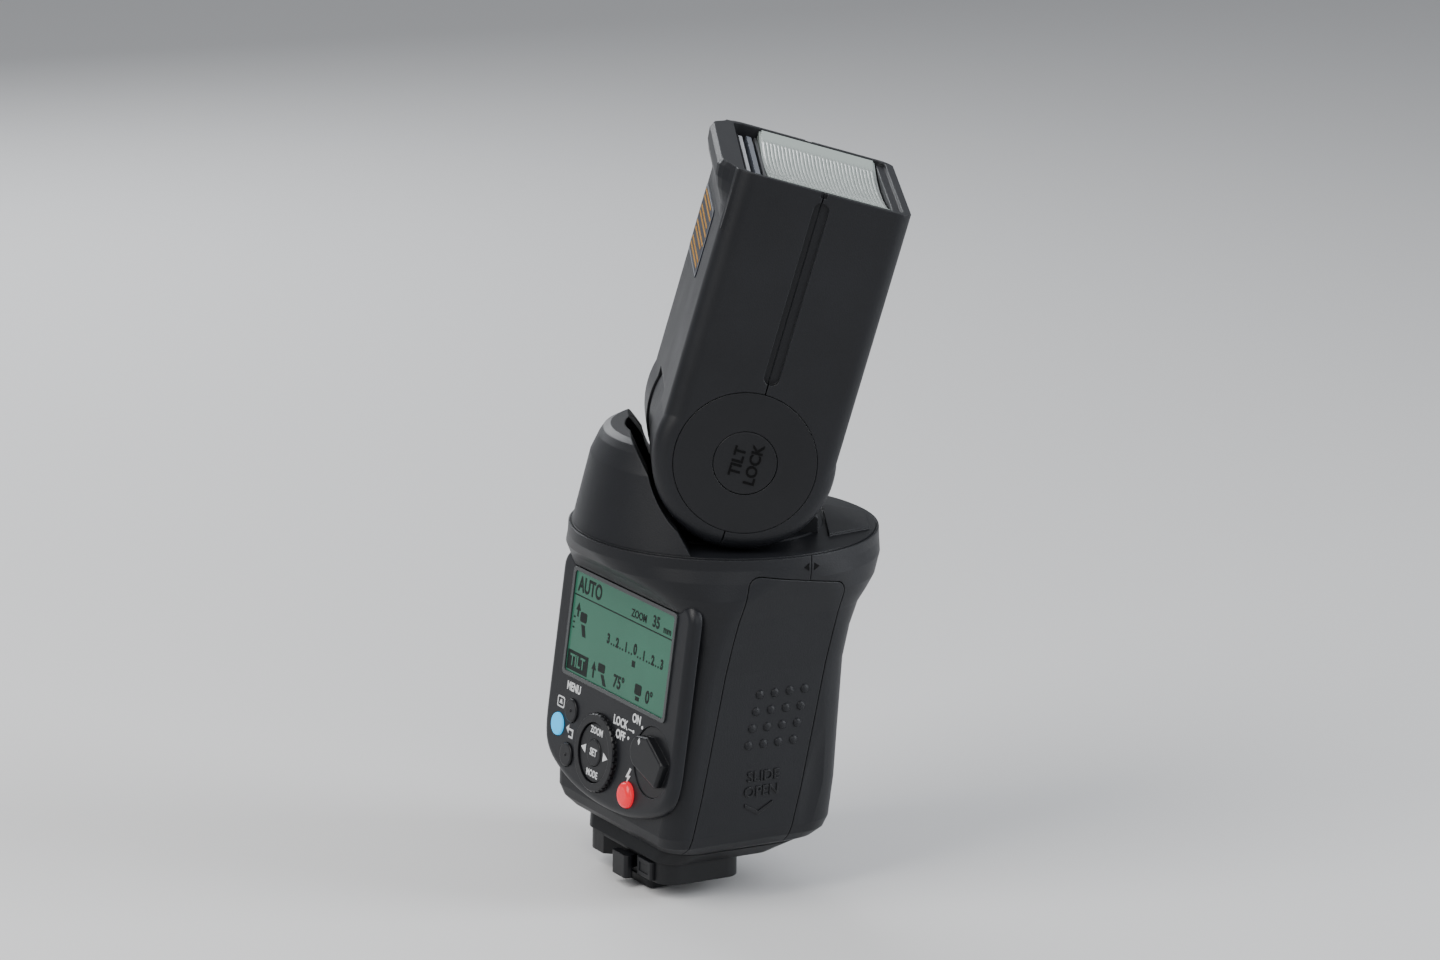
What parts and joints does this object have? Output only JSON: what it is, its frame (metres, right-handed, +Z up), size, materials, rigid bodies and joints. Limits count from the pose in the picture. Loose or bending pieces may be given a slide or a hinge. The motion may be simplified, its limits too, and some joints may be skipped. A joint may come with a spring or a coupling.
{
  "type": "speedlight flash",
  "caption": "Shoe-mount camera flash with a swivelling, tilting zoom head, rear display panel, dial, power lever, battery door and locking foot.",
  "frame": {"origin": "centre of the shoe foot's underside", "axes": "+Z up, +Y forward (the lens side, away from the rear display), +X the battery-door side"},
  "size_m": [0.0845, 0.0878, 0.1801],
  "materials": {
    "body_plastic": "fine-grained matte black",
    "control_plastic": "smooth matte black",
    "panel_plastic": "satin black panel",
    "foot_plastic": "hard matte black",
    "lcd": "green-grey display",
    "blue_light": "lit cyan button",
    "red_light": "lit red button",
    "red_window": "dark red window",
    "window": "frosted ribbed window",
    "clear_panel": "clear plastic sheet",
    "white_panel": "white sheet",
    "label": "printed label",
    "steel": "bright steel",
    "gold": "plated contact",
    "board": "circuit board",
    "inner_plastic": "inner frame plastic",
    "gear_plastic": "natural acetal",
    "reflector": "bright reflector",
    "tube_glass": "clear glass tube",
    "cell": "printed cell sleeve",
    "capacitor": "sleeved capacitor"
  },
  "bodies": {
    "base": {"foot_plate": "foot_plastic", "shoe_contacts": "gold", "foot_block": "foot_plastic", "foot_screws": "steel", "front_shell": "body_plastic", "rear_shell": "body_plastic", "control_panel": "panel_plastic", "lcd_window": "lcd", "lcd_module": "inner_plastic", "main_board": "board", "battery_holder": "inner_plastic", "battery_cells": "cell", "battery_contacts": "gold", "assist_window": "red_window", "assist_lamp_module": "inner_plastic", "main_capacitor": "capacitor", "power_board": "board", "swivel_bearing_ring": "gear_plastic", "swivel_motor": "steel"},
    "turret": {"turret_deck": "body_plastic", "swivel_gear": "gear_plastic", "turret_shell": "body_plastic", "neck_shell_left": "body_plastic", "neck_shell_right": "body_plastic", "neck_screws": "steel", "tilt_motor": "steel"},
    "head": {"head_upper_shell": "body_plastic", "head_lower_shell": "body_plastic", "head_screws": "steel", "tilt_axle": "steel", "tilt_gear": "gear_plastic", "pivot_covers": "control_plastic", "fresnel_window": "window", "panel_tray": "inner_plastic", "zoom_guide_rods": "steel", "zoom_motor": "steel", "top_label": "label"},
    "zoom_unit": {"zoom_carriage": "inner_plastic", "reflector": "reflector", "flash_tube": "tube_glass"},
    "lock_lever": {"lock_lever": "control_plastic"},
    "locking_pin": {"locking_pin": "steel"},
    "lock_release_button": {"lock_release_button": "control_plastic"},
    "bounce_button": {"bounce_button": "blue_light"},
    "sub_menu_button": {"sub_menu_button": "control_plastic"},
    "back_button": {"back_button": "control_plastic"},
    "test_button": {"test_button": "red_light"},
    "select_dial": {"select_dial": "control_plastic"},
    "select_pad": {"select_pad": "control_plastic"},
    "set_button": {"set_button": "control_plastic"},
    "power_lever": {"power_lever": "control_plastic"},
    "door_carriage": {"door_carriage": "inner_plastic"},
    "battery_door": {"battery_door": "body_plastic"},
    "swivel_pinion": {"swivel_pinion": "gear_plastic"},
    "tilt_pinion": {"tilt_pinion": "gear_plastic"},
    "angle_button_left": {"angle_button_left": "control_plastic"},
    "angle_button_right": {"angle_button_right": "control_plastic"},
    "catchlight_panel": {"catchlight_panel": "white_panel"},
    "wide_panel": {"wide_panel": "clear_panel"},
    "zoom_screw": {"zoom_screw": "steel"}
  },
  "joints": [
    {"name": "swivel", "type": "hinge", "parent": "base", "child": "turret", "pos_m": [0, 0.015, 0.085], "axis": [0, 0, 1], "range_deg": [-152.5, 207.5]},
    {"name": "tilt", "type": "hinge", "parent": "turret", "child": "head", "pos_m": [0.00148, 0.01784, 0.1092], "axis": [0.887, -0.4617, 0], "range_deg": [-75, 45]},
    {"name": "swivel_pinion_spin", "type": "hinge", "parent": "base", "child": "swivel_pinion", "pos_m": [-0.018, 0.015, 0.08], "axis": [0, 0, 1], "range_deg": [-1040, 765]},
    {"name": "tilt_pinion_spin", "type": "hinge", "parent": "turret", "child": "tilt_pinion", "pos_m": [0.00148, 0.01784, 0.0942], "axis": [0.887, -0.4617, 0], "range_deg": [-181, 301]},
    {"name": "lock_lever_turn", "type": "hinge", "parent": "base", "child": "lock_lever", "pos_m": [0, 0.002, 0.006], "axis": [0, 0, -1], "range_deg": [0, 33]},
    {"name": "locking_pin_drop", "type": "slide", "parent": "base", "child": "locking_pin", "axis": [0, 0, -1], "range_m": [0, 0.0013]},
    {"name": "lock_release_press", "type": "slide", "parent": "base", "child": "lock_release_button", "axis": [0, 1, 0], "range_m": [0, 0.0015]},
    {"name": "bounce_button_press", "type": "slide", "parent": "base", "child": "bounce_button", "axis": [0, 0.9927, -0.1208], "range_m": [0, 0.0008]},
    {"name": "sub_menu_button_press", "type": "slide", "parent": "base", "child": "sub_menu_button", "axis": [0, 0.9927, -0.1208], "range_m": [0, 0.0008]},
    {"name": "back_button_press", "type": "slide", "parent": "base", "child": "back_button", "axis": [0, 0.9927, -0.1208], "range_m": [0, 0.0008]},
    {"name": "test_button_press", "type": "slide", "parent": "base", "child": "test_button", "axis": [0, 0.9927, -0.1208], "range_m": [0, 0.0008]},
    {"name": "select_dial_turn", "type": "hinge", "parent": "base", "child": "select_dial", "pos_m": [-0.0043, -0.01654, 0.03158], "axis": [0, -0.9927, 0.1208], "continuous": true},
    {"name": "select_pad_press", "type": "slide", "parent": "base", "child": "select_pad", "axis": [0, 0.9927, -0.1208], "range_m": [0, 0.0005]},
    {"name": "set_button_press", "type": "slide", "parent": "base", "child": "set_button", "axis": [0, 0.9927, -0.1208], "range_m": [0, 0.0008]},
    {"name": "power_lever_turn", "type": "hinge", "parent": "base", "child": "power_lever", "pos_m": [0.0214, -0.01601, 0.03594], "axis": [0, -0.9927, 0.1208], "range_deg": [0, 36]},
    {"name": "door_slide", "type": "slide", "parent": "base", "child": "door_carriage", "axis": [0, -0.1657, -0.9862], "range_m": [0, 0.003]},
    {"name": "door_swing", "type": "hinge", "parent": "door_carriage", "child": "battery_door", "pos_m": [0.0306, 0.01887, 0.02105], "axis": [0.0859, 0.1651, 0.9825], "range_deg": [0, 90]},
    {"name": "angle_button_left_press", "type": "slide", "parent": "head", "child": "angle_button_left", "axis": [0.887, -0.4617, 0], "range_m": [0, 0.0012]},
    {"name": "angle_button_right_press", "type": "slide", "parent": "head", "child": "angle_button_right", "axis": [-0.887, 0.4617, 0], "range_m": [0, 0.0012]},
    {"name": "wide_panel_pull", "type": "slide", "parent": "head", "child": "wide_panel", "axis": [0.1195, 0.2296, 0.9659], "range_m": [0, 0.036]},
    {"name": "catchlight_panel_pull", "type": "slide", "parent": "head", "child": "catchlight_panel", "axis": [0.1195, 0.2296, 0.9659], "range_m": [0, 0.036]},
    {"name": "zoom_slide", "type": "slide", "parent": "head", "child": "zoom_unit", "axis": [0.1195, 0.2296, 0.9659], "range_m": [0, 0.014]},
    {"name": "zoom_screw_spin", "type": "hinge", "parent": "head", "child": "zoom_screw", "pos_m": [0.02883, 0.02707, 0.12433], "axis": [0.1195, 0.2296, 0.9659], "range_deg": [0, 1262]}
  ],
  "couplings": [
    {"joint": "swivel_pinion_spin", "follows": "swivel", "ratio": -5},
    {"joint": "tilt_pinion_spin", "follows": "tilt", "ratio": -4},
    {"joint": "locking_pin_drop", "follows": "lock_lever_turn", "m_per_rad": 0.00225},
    {"joint": "zoom_screw_spin", "follows": "zoom_slide", "rad_per_m": 1570.8}
  ]
}
